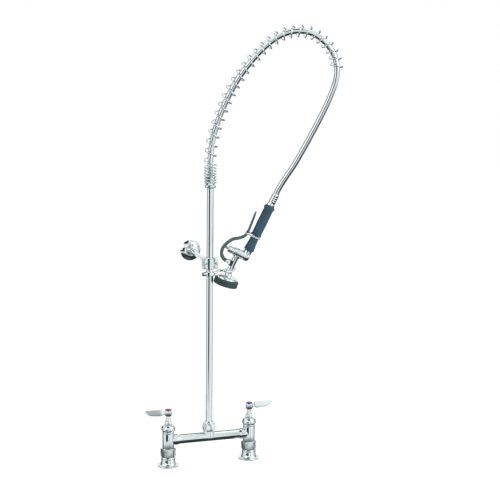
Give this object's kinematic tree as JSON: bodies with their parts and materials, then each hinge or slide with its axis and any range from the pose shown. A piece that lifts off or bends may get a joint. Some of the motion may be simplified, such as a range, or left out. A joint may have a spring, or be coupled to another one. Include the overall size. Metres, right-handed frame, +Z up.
{
  "type": "pre rinse faucet",
  "caption": "Deck-mounted pre rinse faucet: bridge base with lever valves, tall braced riser, overbend spring round a hose, and a squeeze spray valve in a finger hook.",
  "frame": {"origin": "on the deck plane, midway between the two inlet centres and under the riser's axis", "axes": "+X towards the cold side, -Y towards the user, +Y towards the wall, +Z up along the riser"},
  "size_m": [0.4525, 0.2575, 1.0525],
  "materials": {
    "chrome": "polished",
    "steel": "brushed",
    "steel_hose": "woven braid",
    "spring_wire": "polished",
    "brass": "machined",
    "rubber": "satin",
    "fibre": "matte",
    "grip_grey": "satin",
    "lever_grey": "satin",
    "hot_red": "glossy",
    "cold_blue": "glossy"
  },
  "bodies": {
    "root": {"hot_deck_flange": "chrome", "hot_coupling_nut": "chrome", "hot_union_washer": "fibre", "hot_valve_body": "chrome", "hot_valve_seat": "brass", "hot_bonnet": "chrome", "hot_packing_nut": "chrome", "cold_deck_flange": "chrome", "cold_coupling_nut": "chrome", "cold_union_washer": "fibre", "cold_valve_body": "chrome", "cold_valve_seat": "brass", "cold_bonnet": "chrome", "cold_packing_nut": "chrome", "bridge_body": "chrome", "riser_nut": "chrome", "riser_washer": "fibre", "riser_tube": "chrome", "wall_flange": "chrome", "bracket_arm": "chrome", "bracket_set_screw": "steel", "clamp_rear": "chrome", "clamp_front": "chrome", "clamp_screw_left": "steel", "clamp_screw_right": "steel", "finger_hook": "chrome", "hook_set_screw": "steel", "spring_seat": "chrome", "hose_nut": "chrome", "hose": "steel_hose", "overbend_spring": "spring_wire"},
    "hot_handle": {"hot_stem": "chrome", "hot_lever_handle": "chrome", "hot_index_cap": "hot_red", "hot_handle_screw": "steel"},
    "hot_closer": {"hot_valve_disc": "brass", "hot_seat_washer": "rubber"},
    "cold_handle": {"cold_stem": "chrome", "cold_lever_handle": "chrome", "cold_index_cap": "cold_blue", "cold_handle_screw": "steel"},
    "cold_closer": {"cold_valve_disc": "brass", "cold_seat_washer": "rubber"},
    "spray": {"hose_ferrule": "chrome", "handle_tube": "chrome", "upper_grip": "grip_grey", "lower_grip": "grip_grey", "spray_valve_body": "chrome", "spray_bonnet": "chrome", "spray_neck": "chrome", "lever_pin": "steel", "plunger_spring": "steel", "spray_head": "chrome", "rubber_bumper": "rubber", "spray_face": "steel", "face_screw": "steel"},
    "spray_lever": {"spray_lever": "lever_grey"},
    "plunger": {"plunger": "steel"},
    "hold_ring": {"hold_ring": "steel"}
  },
  "joints": [
    {"name": "hot_handle_turn", "type": "hinge", "parent": "root", "child": "hot_handle", "pos_m": [-0.1016, 0, 0.13], "axis": [0, 0, 1], "range_deg": [0, 90]},
    {"name": "hot_disc_lift", "type": "slide", "parent": "root", "child": "hot_closer", "axis": [0, 0, 1], "range_m": [0, 0.0021]},
    {"name": "cold_handle_turn", "type": "hinge", "parent": "root", "child": "cold_handle", "pos_m": [0.1016, 0, 0.13], "axis": [0, 0, 1], "range_deg": [-90, 0]},
    {"name": "cold_disc_lift", "type": "slide", "parent": "root", "child": "cold_closer", "axis": [0, 0, 1], "range_m": [0, 0.0021]},
    {"name": "spray_swing", "type": "hinge", "parent": "root", "child": "spray", "pos_m": [0.27676, -0.08992, 0.955], "axis": [-0.309, -0.9511, 0], "range_deg": [0, 45], "deforming": ["hose", "overbend_spring"]},
    {"name": "lever_squeeze", "type": "hinge", "parent": "spray", "child": "spray_lever", "pos_m": [0.03973, -0.01291, 0.49253], "axis": [0.309, 0.9511, 0], "range_deg": [0, 3.2], "stiffness_Nm_per_rad": 2, "springref_deg": -11.46},
    {"name": "plunger_press", "type": "slide", "parent": "spray", "child": "plunger", "axis": [0.8619, -0.2801, -0.4226], "range_m": [0, 0.00175], "deforming": ["plunger_spring"]},
    {"name": "hold_ring_tilt", "type": "hinge", "parent": "spray", "child": "hold_ring", "pos_m": [0.11057, -0.03593, 0.54838], "axis": [0.309, 0.9511, 0], "range_deg": [0, 8]}
  ],
  "couplings": [
    {"joint": "hot_disc_lift", "follows": "hot_handle_turn", "m_per_rad": 0.001273},
    {"joint": "cold_disc_lift", "follows": "cold_handle_turn", "m_per_rad": -0.001273},
    {"joint": "plunger_press", "follows": "lever_squeeze", "m_per_rad": 0.0297}
  ]
}
